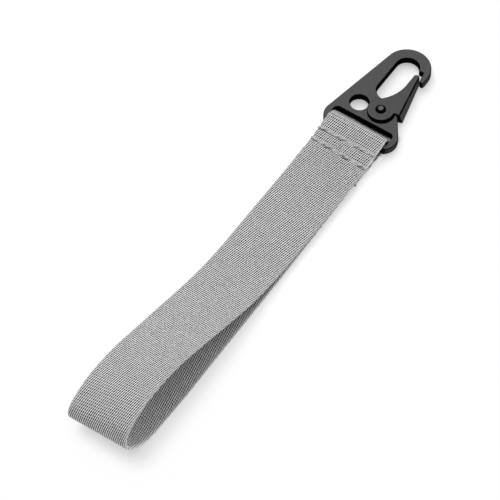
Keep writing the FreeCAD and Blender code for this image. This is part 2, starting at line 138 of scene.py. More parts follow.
def black_coat(name, tones, mottle, grain, grain_depth, painted_shade_line, side_light_place):
    """Satin black coat on metal, in tones for flats, walls, edges, and places rubbed or lit from -Y. Faces
    along Z are lighter and grained. Walls are painted darker as shade, and the rounded edges between them
    darkest as painted dark reflection, as is the painted shade line, a function of the place. Cloudy noise
    mottles the coat, a finer one raises its grain, and a third marks the edges here and there with rubbed
    wear and painted highlights. Walls that face -Y are painted lighter, as light from that side, where the
    last argument, also a function of the place, is 1."""
    flat_tone, wall_shade_tone, edge_shade_tone, rubbed_and_lit_tone = tones
    material, shade = start_material(name)
    place = shade.node("TexCoord", out="Object")
    facing = shade.node("TexCoord", out="Normal")
    upright = abs(facing.part("Z"))
    flat = upright.soft_step(0.90, 0.99) * (1 - painted_shade_line(place))
    wall = 1 - upright.soft_step(0.18, 0.34)
    clouds = place.noise(mottle, 4.0)
    specks = place.noise(grain, 2.0)
    thin = place.noise(mottle * 2.5, 3.0)
    # Walls facing -Y in the given places are painted lighter, as light from that side.
    wall_side_light = wall * (0 - facing.part("Y")).soft_step(0.60, 0.80) * side_light_place(place)
    rub_and_glint = (1 - flat) * (1 - wall) * thin.soft_step(0.60, 0.74)
    # Walls take painted shade, and the rounded edges a darker painted reflection.
    shadow = (wall * (0.6 + 0.8 * clouds)).tint(edge_shade_tone, wall_shade_tone)
    coat = (flat * (0.52 + 0.56 * clouds + 0.40 * specks)).tint(shadow, flat_tone)
    close_material(shade, {
        "Base Color": (0.35 * rub_and_glint + wall_side_light * (0.7 + 0.6 * clouds)).tint(coat, rubbed_and_lit_tone),
        "Roughness": 0.50 + 0.16 * (clouds - 0.5),
        "Specular IOR Level": 0.0,
        "Coat Weight": 0.12 * flat + 0.10 * rub_and_glint,
        "Coat Roughness": 0.42,
        "Normal": (flat * specks + 0.35 * clouds).bump(grain_depth),
    })
    return material


def dress(name, material):
    """Gives a carried-over node its finish, in every one of its material slots."""
    slots = frame["nodes"][name].material_slots
    for slot in slots:
        slot.material = material


swing_joint, gate_joint = frame["record"]["behaviour"]["joints"]
pivot_x, pivot_y = gate_joint["pos_m"][:2]
cheek_radius = 0.0052
# The painted shadow beside the gate's cheek: its circle's shift from the pivot and its soft edge.
crescent_ahead = -0.00050
crescent_aside = -0.00060
crescent_blur = 0.00030
outer_side_range = (0.0070, 0.0076)
casting_mottle = 0.0016
casting_grain = 0.00016
casting_grain_depth = 0.00003
# Tones for flats, walls and edges painted dark as shade, and rubbed places or walls lit from -Y.
casting_tones = [(tone, tone, tone) for tone in (0.069, 0.004, 0.0015, 0.040)]


def from_pivot(place, ahead=0.0, aside=0.0):
    """Distance from a place beside the gate's pivot, seen from above."""
    along = place.part("X") - (pivot_x + ahead)
    across = place.part("Y") - (pivot_y + aside)
    return (along * along + across * across) ** 0.5


def cheek_shadow(place):
    """1 on the crescent beside the gate's round cheek, where its contact shadow is painted on the plate."""
    away = from_pivot(place, crescent_ahead, crescent_aside)
    return 1 - away.soft_step(cheek_radius, cheek_radius + crescent_blur)


def outer_side_light(place):
    """1 on the plate's outer side walls towards -Y, which are painted lighter as light from that side."""
    return (0 - place.part("Y")).soft_step(*outer_side_range)


dress("hook_plate", black_coat(
    "satin_black_casting", casting_tones, casting_mottle, casting_grain, casting_grain_depth,
    cheek_shadow, outer_side_light,
))


# Gate spring: two turns of drawn spring wire in a groove of the plate's rear face. One straight leg sits in a
# slot of the plate, the other leans on the inside of the gate's spine. Opening the gate winds the coil.
wire_radius = 0.000225
coil_radius = 0.0026
coil_turns = 2
coil_low = 0.002025
coil_high = 0.003765
fixed_leg = 0.0031
free_leg_end = np.array([0.005243, -0.006333])
leg_steps = 16
coil_steps = 120
wire_sides = 14
mark_size = 0.0012
mark_stretch = 24.0
mark_depth = 0.000004
oxide_size = 0.0018
bright_steel = (0.42, 0.42, 0.43)
straw_oxide = (0.30, 0.285, 0.26)


def ring_mesh(name, points, cloth):
    """A closed skin through rings of points, rows along and columns round. Each ring joins itself and the
    next one by quads, and a flat face closes each end. Cloth gives every point its UV place."""
    rows, columns = points.shape[:2]
    number = np.arange(rows * columns).reshape(rows, columns)
    beside = np.roll(number, -1, axis=1)
    quads = np.stack([number[:-1], number[1:], beside[1:], beside[:-1]], axis=-1).reshape(-1, 4)
    faces = quads.tolist() + [number[0].tolist(), number[-1, ::-1].tolist()]
    mesh = bpy.data.meshes.new(name)
    mesh.from_pydata(points.reshape(-1, 3), [], faces)
    smooth = np.ones(len(faces), dtype=bool)
    smooth[-2:] = False
    mesh.polygons.foreach_set("use_smooth", smooth)
    corners = np.empty(len(mesh.loops), dtype=np.int32)
    mesh.loops.foreach_get("vertex_index", corners)
    layer = mesh.uv_layers.new(name="cloth")
    layer.data.foreach_set("uv", cloth.reshape(-1, 2)[corners].astype(np.float32).ravel())
    mesh.update()
    piece = bpy.data.objects.new(name, mesh)
    bpy.context.scene.collection.objects.link(piece)
    return piece


def wound_tube(name, path, radius, sides, reference, lobes=0, lobe_depth=0.0, lay=1.0):
    """A round profile carried along a path. Its first side axis is the reference direction made square to the
    path, the second is square to both. The radius swells and shrinks by lobe_depth in a number of lobes, and
    these turn once round the path in every length of lay, as the plies of a thread do."""
    tangent = np.gradient(path, axis=0)
    tangent /= np.linalg.norm(tangent, axis=1, keepdims=True)
    first = reference - tangent * (tangent @ reference)[:, None]
    first /= np.linalg.norm(first, axis=1, keepdims=True)
    second = np.cross(tangent, first)
    steps = np.linalg.norm(np.diff(path, axis=0), axis=1)
    along = np.concatenate([[0.0], np.cumsum(steps)])
    turn = np.linspace(0, 2 * math.pi, sides, endpoint=False)
    twist = turn[None, :] - 2 * math.pi * along[:, None] / lay
    reach = radius * (1 - lobe_depth + lobe_depth * np.cos(lobes * twist))
    aside = first[:, None, :] * np.cos(turn)[None, :, None]
    aside = aside + second[:, None, :] * np.sin(turn)[None, :, None]
    points = path[:, None, :] + aside * reach[:, :, None]
    across = np.broadcast_to(radius * np.abs(turn - math.pi), reach.shape)
    cloth = np.stack([across, np.broadcast_to(along[:, None], reach.shape)], axis=-1)
    return ring_mesh(name, points[:, ::-1], cloth[:, ::-1])


def spring_path():
    """The wire's middle line seen from the pivot: a straight free leg that touches the coil's circle, a helix
    that climbs evenly while it turns clockwise, and a straight leg that leaves along the tangent."""
    reach = np.hypot(*free_leg_end)
    start = math.atan2(free_leg_end[1], free_leg_end[0]) - math.acos(coil_radius / reach)
    angle = start - np.linspace(0, 2 * math.pi * coil_turns, coil_steps)
    coil = np.stack([
        coil_radius * np.cos(angle),
        coil_radius * np.sin(angle),
        np.linspace(coil_low, coil_high, coil_steps),
    ], axis=1)
    share = np.linspace(0, 1, leg_steps, endpoint=False)[:, None]
    free_tip = np.array([*free_leg_end, coil_low])
    free = free_tip + share * (coil[0] - free_tip)
    way = np.array([math.sin(angle[-1]), -math.cos(angle[-1]), 0.0])
    fixed = coil[-1] + (1 - share[::-1]) * fixed_leg * way
    return np.concatenate([free, coil, fixed]) + [pivot_x, pivot_y, 0.0]


def drawn_wire():
    """Bright spring steel with fine draw marks along the wire and a thin straw-grey oxide in patches."""
    material, shade = start_material("drawn_spring_wire")
    cloth = shade.node("UVMap", uv_map="cloth")
    drawn_out = shade.node("Mapping", {"Vector": cloth, "Scale": (mark_stretch, 1.0, 1.0)})
    marks = drawn_out.noise(mark_size, 3.0)
    patches = shade.node("TexCoord", out="Object").noise(oxide_size, 3.0)
    close_material(shade, {
        "Base Color": patches.soft_step(0.35, 0.7).tint(bright_steel, straw_oxide),
        "Metallic": 1.0,
        "Roughness": 0.24 + 0.22 * marks,
        "Normal": marks.bump(mark_depth),
    })
    return material


upwards = np.array([0.0, 0.0, 1.0])
spring = wound_tube("wound_gate_spring", spring_path(), wire_radius, wire_sides, upwards)
spring.data.materials.append(drawn_wire())
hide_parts("gate_spring")
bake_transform(spring)


# Gate: one steel sheet blanked and folded into a U, with two round cheeks on the rivet and a straight spine.
# It is barrelled and coated like the plate, a little smoother because the sheet is rolled, not cast.
spine_angle = math.radians(10.51)
fold_start = 0.00712
fold_blur = 0.00012
sheet_mottle = 0.0020
sheet_grain = 0.00014
sheet_grain_depth = 0.00002
# Tones for flats, walls and edges painted dark as shade, and rubbed places or walls lit from -Y.
sheet_tones = [(tone, tone, tone) for tone in (0.064, 0.004, 0.0015, 0.062)]


def fold_line(place):
    """1 beside the fold between cheek and spine, and outside it, square to the spine from the pivot."""
    aside = (place.part("X") - pivot_x) * math.sin(spine_angle)
    away = (place.part("Y") - pivot_y) * math.cos(spine_angle)
    return (aside - away).soft_step(fold_start, fold_start + fold_blur)


# On the gate the fold is painted as a dark line of shade, and the spine's wall towards -Y beyond it is
# painted lighter, as light from that side.
dress("gate", black_coat(
    "satin_black_sheet", sheet_tones, sheet_mottle, sheet_grain, sheet_grain_depth, fold_line, fold_line,
))


# Pivot rivet: a headed steel pin, set over the front cheek with a spinning tool and blackened. The set head
# is a low dome with a flat, rubbed top, a ring of tool marks and a shallow dimple in its middle; its flank
# is kept black, as blackened steel and as painted shade.
rivet_head = 0.00205
rivet_shank = 0.00125
rear_face = 0.00068
front_face = 0.00592
rivet_top = 0.00677
# The flank's black is blackened steel, kept this dark as painted shade.
rivet_dark = (0.002, 0.002, 0.002)
rivet_pale = (0.090, 0.090, 0.090)
rivet_ring_pitch = 0.00021
rivet_mark_depth = 0.000016
rivet_cloud_size = 0.0008
worn_top_range = (0.00085, 0.00120)
rivet_sides = 48
rivet_profile = np.array([
    (0.00030, 0.00000), (0.00178, 0.00000), (0.00192, 0.00003), (0.00202, 0.00012), (rivet_head, 0.00024),
    (rivet_head, 0.00058), (0.00203, 0.00065), (0.00198, rear_face), (0.00129, rear_face),
    (rivet_shank, 0.00072), (rivet_shank, 0.00588), (0.00129, front_face), (0.00199, front_face),
    (0.00204, 0.00596), (rivet_head, 0.00603), (0.00203, 0.00611), (0.00195, 0.00622), (0.00176, 0.00640),
    (0.00156, 0.00657), (0.00140, 0.00668), (0.00124, 0.00674), (0.00108, 0.00676), (0.00090, rivet_top),
    (0.00056, 0.00676), (0.00046, 0.00672), (0.00036, 0.00668), (0.00022, 0.00667),
])


def turned_rivet():
    """The rivet's outline, radius against height, turned round the pivot: x and y are the radius times the
    cosine and sine of the turn."""
    turn = np.linspace(0, 2 * math.pi, rivet_sides, endpoint=False)
    radius = rivet_profile[:, :1]
    points = np.stack([
        pivot_x + radius * np.cos(turn),
        pivot_y + radius * np.sin(turn),
        np.broadcast_to(rivet_profile[:, 1:], (len(rivet_profile), rivet_sides)),
    ], axis=-1)
    cloth = np.stack([np.broadcast_to(turn, points.shape[:2]), points[:, :, 2]], axis=-1)
    return ring_mesh("turned_pivot_rivet", points[:, ::-1], cloth[:, ::-1])


def blackened_steel():
    """Blackened steel. Distance from the pin's axis gives the tool's rings and the rubbed, pale top of the
    head, and the dome's flank stays black, as blackened steel and as painted shade."""
    material, shade = start_material("blackened_set_rivet")
    place = shade.node("TexCoord", out="Object")
    radius = from_pivot(place)
    phase = radius * (2 * math.pi / rivet_ring_pitch)
    rings = 0.5 + 0.5 * phase.math("COSINE", phase)
    clouds = place.noise(rivet_cloud_size, 4.0)
    top = 1 - radius.soft_step(*worn_top_range)
    tone = top * (0.35 + 1.1 * clouds) * (0.85 + 0.15 * rings)
    close_material(shade, {
        "Base Color": tone.tint(rivet_dark, rivet_pale),
        "Roughness": 0.40 + 0.14 * clouds - 0.06 * top,
        "Specular IOR Level": 0.0,
        "Coat Weight": 0.3 * top,
        "Coat Roughness": 0.35,
        "Normal": (0.4 * rings + clouds).bump(rivet_mark_depth),
    })
    return material


rivet = turned_rivet()
rivet.data.materials.append(blackened_steel())
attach(rivet, "gate")
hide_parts("pivot_rivet")


# Webbing strap: one length of woven grey nylon webbing, 25 mm wide. It folds round the bar, lies back on
# itself as a short flap, turns over in a hand loop and ends inside the sewn stack. Its cut ends are sealed
# with heat, and the stiff fold stands off the bar and fills most of the slot.
bar_x, _, bar_z = swing_joint["pos_m"]
webbing_width = 0.025
webbing_thickness = 0.0012
layer_gap = 0.0001
half_width = webbing_width / 2
half_thickness = webbing_thickness / 2
fold_radius = bar_z - half_thickness
flap_length = 0.0187
stack_reach = 0.0137
inner_end_offset = 0.0033
settle_radius = 0.030
step_margin = 0.0005
step_radius = 0.014
loop_reach = 0.165
plain_side_height = 0.0209
gate_side_height = 0.0256
plain_side_lift = math.radians(16.5)
gate_side_lift = math.radians(21.0)
lift_radius = 0.105
crown_rise_radius = 0.065
crown_fall_radius = 0.024
crown_fall = math.radians(32)
heel_radius = 0.020
heel = math.radians(59)
flap_end_x = bar_x - flap_length
settle_x = bar_x - stack_reach
top_z = half_thickness + 2 * (webbing_thickness + layer_gap)
inner_z = half_thickness + webbing_thickness + layer_gap
fall = math.asin(fold_radius / math.hypot(stack_reach, bar_z - top_z))
fall += math.atan2(bar_z - top_z, stack_reach)


def strap_course(loop_height, lift):
    """The strap's stretches at one side, from the flap's cut end: their lengths and their turns to the left.
    Flap, fold, fall, settling bend, level run, lift, slope, crown's rise, crown's fall, end, heel, run back
    on the table, the two bends of the step over the flap's end, and inner run. A bend is its radius times its
    turn long, and the level runs take up what is left between the ends."""
    settle = settle_radius * math.tan(fall / 2)
    fall_run = (bar_x - fold_radius * math.sin(fall) - settle_x) / math.cos(fall) - settle
    rise = loop_height - half_thickness - top_z
    slope_run = (rise - (lift_radius + crown_rise_radius) * (1 - math.cos(lift))) / math.sin(lift)
    drop = loop_height - webbing_thickness
    drop -= crown_fall_radius * (1 - math.cos(crown_fall)) + heel_radius * (1 - math.cos(heel))
    end_radius = drop / (math.cos(crown_fall) + math.cos(heel))
    past_crown = crown_fall_radius * math.sin(crown_fall) + end_radius * (1 - math.sin(crown_fall))
    before_crown = (lift_radius + crown_rise_radius) * math.sin(lift) + slope_run * math.cos(lift)
    loop_x = bar_x - loop_reach + half_thickness
    lift_x = loop_x + past_crown + before_crown
    heel_x = loop_x + end_radius * (1 - math.sin(heel)) + heel_radius * math.sin(heel)
    step = math.acos(1 - (inner_z - half_thickness) / (2 * step_radius))
    step_x = flap_end_x - step_margin - 2 * step_radius * math.sin(step)
    inner_run = bar_x - inner_end_offset - flap_end_x + step_margin
    end_turn = math.pi - crown_fall - heel
    stretches = [
        (flap_length, 0.0),
        (fold_radius * (math.pi + fall), math.pi + fall),
        (fall_run, 0.0),
        (settle_radius * fall, -fall),
        (settle_x - settle - lift_x, 0.0),
        (lift_radius * lift, -lift),
        (slope_run, 0.0),
        (crown_rise_radius * lift, lift),
        (crown_fall_radius * crown_fall, crown_fall),
        (end_radius * end_turn, end_turn),
        (heel_radius * heel, heel),
        (step_x - heel_x, 0.0),
        (step_radius * step, step),
        (step_radius * step, -step),
        (inner_run, 0.0),
    ]
    return np.array(stretches).T


def strap_line(course, share, samples=24000):
    """Points of the middle line. The heading is the running sum of the turns, and x and z are the running
    integrals of its cosine and sine. Share counts stretches from the cut end, whole ones and parts."""
    lengths, turns = course
    breaks = np.concatenate([[0.0], np.cumsum(lengths)])
    headings = np.concatenate([[0.0], np.cumsum(turns)])
    along = np.linspace(0, breaks[-1], samples)
    heading = np.interp(along, breaks, headings)
    middle = (heading[1:] + heading[:-1]) / 2
    x = flap_end_x + np.concatenate([[0.0], np.cumsum(np.cos(middle))]) * along[1]
    z = half_thickness + np.concatenate([[0.0], np.cumsum(np.sin(middle))]) * along[1]
    wanted = np.interp(share, np.arange(len(breaks)), breaks)
    return [np.interp(wanted, along, values) for values in (x, z, heading, along)]


row_offset = 0.0063
row_spacing = 0.0048
stitches_per_row = 8
row_edge_margin = 0.001
row_half = half_width - row_edge_margin
stitch_pitch = 2 * row_half / stitches_per_row
row_drifts = (0.0003, -0.0004)
row_places = (
    bar_x - row_offset + row_drifts[0],
    bar_x - row_offset - row_spacing + row_drifts[1],
)
row_tilts = (0.0, 0.045)
stitch_slant = 0.00026
groove_width = 0.00080
groove_depth = 0.00055
groove_aside = 0.00030
pucker_reach = 0.0030
pucker_height = 0.00016


def row_line(place, tilt, y):
    """Where a stitch row runs: a straight, slightly tilted line with one sine wave per stitch, so that the
    row wavers from hole to hole."""
    return place + tilt * y + stitch_slant * np.sin(2 * math.pi * (y + row_half) / stitch_pitch)


def stitch_pull(x, y):
    """How far the rows draw the webbing in. Each row is a bell-shaped groove just behind its thread, deepest
    at the needle holes, and between holes the cloth beside it swells in shallow puckers that die out a few
    millimetres away."""
    wave = np.cos(2 * math.pi * (y + row_half) / stitch_pitch)
    drawn = np.zeros(np.broadcast(x, y).shape)
    for place, tilt in zip(row_places, row_tilts):
        away = x - row_line(place, tilt, y) + groove_aside
        drawn += groove_depth * np.exp(-(away / groove_width) ** 2) * (0.6 + 0.4 * (0.5 + 0.5 * wave) ** 2)
        swell = (away / pucker_reach) ** 2 * np.exp(1 - (away / pucker_reach) ** 2)
        drawn -= pucker_height * swell * (0.5 - 0.5 * wave)
    return drawn


crest_squeeze = 0.050
crest_reach = 0.0022
gate_side_spread = 0.050
neck_spread = 0.010
neck_place = 0.0048
neck_reach = 0.0035
pinch_depth = 0.00022
pinch_reach = 0.0007
ripple_height = 0.00003
ripple_along = 0.0061
ripple_across = 0.0052
ripple_skew = 0.017
ripple_start = 1.3
heel_stretch = 10
fold_bulge = 0.00085
fold_bulge_lean = 0.016
fold_bulge_place = math.radians(118)
fold_bulge_reach = 0.0027
flap_shift = 0.0003
drift_places = np.array([-0.095, -0.070, -0.045, -0.015, 0.005, 0.030])
drift_sizes = np.array([0.0, -0.0004, -0.00015, 0.0, 0.0003, 0.00075])
scallop_pitch = 0.00209
scallop_depth = 0.00007
outer_columns = 49
edge_points = 5
row_step = 0.00040
sewn_step = 0.00026


def strap_skin():
    """The strap's section, a flat oval with round selvedges, carried along its course. The two sides follow
    courses of their own, and points between them lie straight across. The offset from the middle line goes to
    the right of travel, which is outside. Stitch rows draw the skin in on the flap and on the upper layer,
    the fold swells away from the bar in a bell and narrows at its crest on the plain side, the run back
    drifts sideways by places along it, and the weft's turns scallop the selvedges. With the points come their
    places on the cloth, their share of the inner face, the strap's length, and where the rows and the loop's
    turn lie along it."""
    plain = strap_course(plain_side_height, plain_side_lift)
    gated = strap_course(gate_side_height, gate_side_lift)
    lengths = (plain[0] + gated[0]) / 2
    fine = np.where(np.arange(len(lengths)) < 4, sewn_step, row_step)
    counts = np.maximum(4, np.rint(lengths / fine)).astype(int)
    share = np.concatenate(
        [np.linspace(k, k + 1, n, endpoint=False) for k, n in enumerate(counts)] + [[len(counts)]]
    )

    flat = half_width - half_thickness
    outer = np.concatenate([[flat], np.linspace(row_half, -row_half, outer_columns), [-flat]])
    inner = np.linspace(-flat, flat, outer_columns // 2)
    turn = np.linspace(0, math.pi, edge_points + 2)[1:-1]
    edge = flat + half_thickness * np.sin(turn)
    y = np.concatenate([outer, -edge, inner, edge])
    through = np.concatenate([
        np.full(len(outer), half_thickness),
        half_thickness * np.cos(turn),
        np.full(len(inner), -half_thickness),
        -half_thickness * np.cos(turn),
    ])
    round_edge = flat + half_thickness * np.minimum(turn, math.pi - turn)
    unrolled = np.concatenate([outer, -round_edge, inner, round_edge])

    left = [values[:, None] for values in strap_line(plain, share)]
    right = [values[:, None] for values in strap_line(gated, share)]
    side = (0.5 + 0.5 * y / half_width)[None, :]
    x, z, heading, along = (side * a + (1 - side) * b for a, b in zip(left, right))

    stretch = share[:, None]
    sewn = np.clip(10 * stretch + 0.2, 0, 1) * np.clip(4 * (1 - stretch), 0, 1)
    sewn = sewn + np.clip(6 * (stretch - 2) + 0.3, 0, 1) * np.clip(2 * (4.5 - stretch), 0, 1)
    ripple = ripple_height * np.sin(along / ripple_along + ripple_start)
    ripple = ripple * np.sin(y[None, :] / ripple_across + along / ripple_skew)
    pull = stitch_pull(x, y[None, :])
    pull = np.where(stretch < 1.5, np.maximum(pull, 0), pull)
    from_bulge = along - flap_length - fold_radius * fold_bulge_place
    bulge = (fold_bulge + fold_bulge_lean * y[None, :]) * np.exp(-(from_bulge / fold_bulge_reach) ** 2)
    offset = through[None, :] + bulge - sewn * pull + ripple * np.clip(stretch - 3, 0, 1)

    crest = crest_squeeze - gate_side_spread * (y[None, :] < 0)
    squeeze = 1 - crest * np.exp(-(from_bulge / crest_reach) ** 2)
    squeeze = squeeze + neck_spread * np.exp(-((from_bulge - neck_place) / neck_reach) ** 2)
    lines = [row_line(place, tilt, y[None, :]) for place, tilt in zip(row_places, row_tilts)]
    pinch = sum(np.exp(-((x - line) / pinch_reach) ** 2) for line in lines) * sewn
    reach = np.clip((np.abs(y) - flat) / half_thickness, 0, 1)[None, :]
    scallop = scallop_depth * np.cos(2 * math.pi * along / scallop_pitch) - pinch_depth * pinch
    shift = flap_shift * np.clip(1 - along / flap_length, 0, 1)
    shift = shift + np.where(stretch >= heel_stretch, np.interp(x, drift_places, drift_sizes), 0)
    width = y[None, :] * squeeze + np.sign(y)[None, :] * reach * scallop + shift

    points = np.stack([x + offset * np.sin(heading), width, z - offset * np.cos(heading)], axis=-1)
    cloth = np.stack([np.broadcast_to(unrolled, x.shape), along + 0 * unrolled], axis=-1)
    upper = (share > 2) & (share < 4)
    centre = outer_columns // 2
    row_starts = np.interp(np.negative(row_places), -x[upper, centre], along[upper, centre])
    inner_face = np.broadcast_to(0.5 - 0.5 * through / half_thickness, x.shape)
    turn_place = lengths[:heel_stretch].sum()
    return points[:, ::-1], cloth[:, ::-1], inner_face[:, ::-1], lengths.sum(), row_starts, turn_place


rib_rate = 1270.0
rib_lean = 264.0
pick_rate = 957.0
wander_size = 0.008
rib_wander = 0.00001
pick_wander = 0.00002
drawn_range = (0.040, 0.080)
selvedge_width = 0.0009
selvedge_blur = 0.0002
# Reach of the painted light on the selvedge towards -Y, inside and outside its edge.
lit_selvedge_inside = 0.0005
lit_selvedge_outside = 0.0001
stack_range = (0.036, 0.046)
flap_range = (0.017, 0.021)
inner_end_start = 0.016
inner_end_full = 0.014
# Where the fold is painted darker inside the slot, as the slot's shade.
slot_shade_place = 0.0040
slot_shade_range = (0.0013, 0.0045)
# Reach of the painted light on the loop's turn.
turned_range = (0.006, 0.032)
fibre_stretch = 7.0
fibre_size = 0.0009
shade_size = 0.016
crest_place = flap_length + fold_radius * math.radians(125)
crest_press = (0.0004, 0.0028)
stitch_press = (0.0004, 0.0009)
# The painted shade behind each stitch row: its offset, width, patch size and fade across the strap.
crease_behind = 0.00065
crease_range = (0.00012, 0.00035)
crease_patch = 0.003
crease_fade = 0.006
melted_range = (0.0004, 0.0011)
weave_depth = 0.00012
# The yarn's grey, the painted shade in the gaps, and the melted ends' dark.
crown_tone = (0.98, 0.98, 0.98)
gap_shade_tone = (0.004, 0.004, 0.004)
sealed_tone = (0.24, 0.24, 0.24)


def woven_nylon(total_length, row_starts, turn_place):
    """Twill-faced webbing. Across the cloth a leaning count of ribs gives each warp's round back, and along
    it a count of picks gives each weft that ties them. Between ribs lie gaps painted dark as shade, broken
    where a pick crosses, most on the inner face, and a little wider where the sewing draws the cloth. Fine
    stretched noise draws the fibres. The selvedge towards -Y is painted lighter as light from that side,
    most in the lower layers of the sewn stack, and the inner face a little darker as shade. The fold is
    painted darker inside the slot as the slot's shade, and the loop's turn is painted lighter as light, most
    on its inner face. Over the bar and beside the stitches the weave is pressed flat, painted shade runs in
    patches behind each row, and the cut ends are melted dark."""
    material, shade = start_material("grey_nylon_weave")
    cloth = shade.node("UVMap", uv_map="cloth")
    across = cloth.part("X")
    along = cloth.part("Y")
    wander = cloth.noise(wander_size, 1.0) - 0.5
    rib = (across + rib_wander * wander) * rib_rate - along * rib_lean
    pick = (along + pick_wander * wander) * pick_rate
    beside = rib.math("FRACT", rib) - 0.5
    ahead = pick.math("FRACT", pick) - 0.5
    inner = shade.node("Attribute", attribute_name="inner_face", out="Fac")
    broken = (0.22 + 0.14 * inner) * abs(ahead).soft_step(0.20, 0.36)
    drawn = 1 - along.soft_step(*drawn_range)
    gap_shade = (abs(beside) + 0.014 * drawn).soft_step(0.10, 0.21) * (1 - broken)
    selvedge_start = half_width - selvedge_width
    selvedge = abs(across).soft_step(selvedge_start - selvedge_blur, selvedge_start + selvedge_blur)
    # The selvedge towards -Y is painted lighter, as light from that side, most in the sewn stack's lower
    # layers.
    lit_selvedge = (0 - across).soft_step(half_width - lit_selvedge_inside, half_width + lit_selvedge_outside)
    inner_end = along.soft_step(total_length - inner_end_start, total_length - inner_end_full)
    stacked = 1 - along.soft_step(*stack_range) + inner_end
    lower = 1 - along.soft_step(*flap_range) + inner_end
    selvedge_light = lit_selvedge * (0.15 + 0.45 * stacked + 0.38 * lower)
    dark = (gap_shade * (1 - 0.40 * selvedge) + 0.26 * selvedge) * (1 - selvedge_light)
    # The fold's part inside the slot is painted darker, as the slot's shade.
    slot_shade = 1 - abs(along - flap_length - slot_shade_place).soft_step(*slot_shade_range)
    # The loop's turn is painted lighter, as light, most on its inner face.
    turned = 1 - abs(along - turn_place).soft_step(*turned_range)
    # The inner face is painted a little darker, as shade.
    crown = (1 - dark) * (1 - 0.04 * inner) * (1 + (0.20 + 0.55 * inner) * turned)
    stretched = shade.node("Mapping", {"Vector": cloth, "Scale": (fibre_stretch, 1.0, 1.0)})
    fibres = stretched.noise(fibre_size, 3.0)
    yarn = shade.node("TexWhiteNoise", {"W": rib.math("FLOOR", rib)}, noise_dimensions="1D")
    clouds = cloth.noise(shade_size, 3.0)
    pressed = 1 - abs(along - crest_place).soft_step(*crest_press)
    # Behind each row a line of painted shade, in patches, stronger on the +Y half.
    crease_shade = 0.0
    for start, tilt in zip(row_starts, row_tilts):
        behind = along - start + tilt * across
        pressed = pressed + 0.8 * (1 - abs(behind).soft_step(*stitch_press))
        crease_shade = crease_shade + (1 - abs(behind - crease_behind).soft_step(*crease_range))
    patches = cloth.noise(crease_patch, 1.0).soft_step(0.50, 0.62)
    crease_shade = crease_shade * (0.4 * across.soft_step(0.0, crease_fade) + 0.8 * patches)
    to_end = total_length / 2 - abs(along - total_length / 2)
    melted = 1 - to_end.soft_step(*melted_range)
    relief = crown * (1 - 0.6 * pressed) + 0.36 * pressed - 0.45 * crease_shade
    tone = relief * (0.98 + 0.03 * yarn) * (0.96 + 0.08 * fibres) * (0.99 + 0.03 * clouds)
    grey = (tone * (1 - 0.8 * slot_shade)).tint(gap_shade_tone, crown_tone)
    close_material(shade, {
        "Base Color": melted.tint(grey, sealed_tone),
        "Roughness": 0.78 - 0.16 * pressed - 0.3 * melted + 0.1 * (fibres - 0.5),
        "Specular IOR Level": 0.25,
        "Sheen Weight": 0.12,
        "Sheen Roughness": 0.5,
        "Normal": (relief + 0.08 * fibres).bump(weave_depth),
    })
    return material


strap_points, strap_cloth, strap_inner, strap_length, strap_rows, strap_turn = strap_skin()
strap = ring_mesh("woven_strap", strap_points, strap_cloth)
inner_layer = strap.data.attributes.new("inner_face", "FLOAT", "POINT")
inner_layer.data.foreach_set("value", strap_inner.astype(np.float32).ravel())
strap.data.materials.append(woven_nylon(strap_length, strap_rows, strap_turn))
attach(strap, "strap")
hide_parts("webbing_strap")


# Stitching: two rows of lockstitch in grey bonded thread of three plies. Each row's needle thread lies on top
# and runs over both edges, its bobbin thread lies in the flap's underside, and they lock in the needle holes.
thread_radius = 0.00048
thread_lay = 0.0030
plies = 3
ply_depth = 0.10
samples_per_stitch = 24
thread_sides = 15
edge_turn = 0.00050
edge_gap = 0.00040
edge_steps = 26
row_shifts = (0.0001, 0.00005)
hole_dip = 0.00075
hole_dip_width = 0.075
thread_lift = 0.15
thread_swell = 0.75
swell_rate = 2.4
swell_start = 400
table_gap = 0.00004
hole_rise = 0.0009
hole_rise_width = 0.08
ply_stretch = 9.0
ply_fibre_size = 0.0006
ply_fibre_depth = 0.00002
thread_cloud_size = 0.0022
thread_dark = (0.18, 0.18, 0.18)
thread_pale = (0.50, 0.50, 0.50)


def needle_path(place, tilt, shift):
    """The needle thread of one row. Along Y it counts stitches. Its height follows the drawn-in face, rises
    and sinks in a slow sine, and dips in a narrow bell at every hole between the ends. It wavers with its
    row, and past the last hole at each end it bends over the selvedge on a small arc and tucks in under
    it."""
    count = np.linspace(0, stitches_per_row, stitches_per_row * samples_per_stitch + 1)
    y = -row_half + stitch_pitch * count
    near = np.abs(count - np.rint(count))
    inside = (count > 0.5) & (count < stitches_per_row - 0.5)
    dip = hole_dip * np.exp(-(near / hole_dip_width) ** 2) * inside
    x = row_line(place, tilt, y)
    middle = top_z + (x - settle_x) * math.tan(fall)
    face = middle + (half_thickness - stitch_pull(x, y)) / math.cos(fall)
    swell = thread_swell * np.sin(swell_rate * count + swell_start * place)
    z = face + (thread_lift + swell) * thread_radius - dip
    turn = np.linspace(0, 1.25 * math.pi, edge_steps)[1:]
    low = np.stack([
        np.full(len(turn), x[0]),
        y[0] - edge_gap - edge_turn * np.sin(turn),
        z[0] - edge_turn * (1 - np.cos(turn)),
    ], axis=1)[::-1]
    high = np.stack([
        np.full(len(turn), x[-1]),
        y[-1] + edge_gap + edge_turn * np.sin(turn),
        z[-1] - edge_turn * (1 - np.cos(turn)),
    ], axis=1)
    return np.concatenate([low, np.stack([x, y, z], axis=1), high]) + [0.0, shift, 0.0]


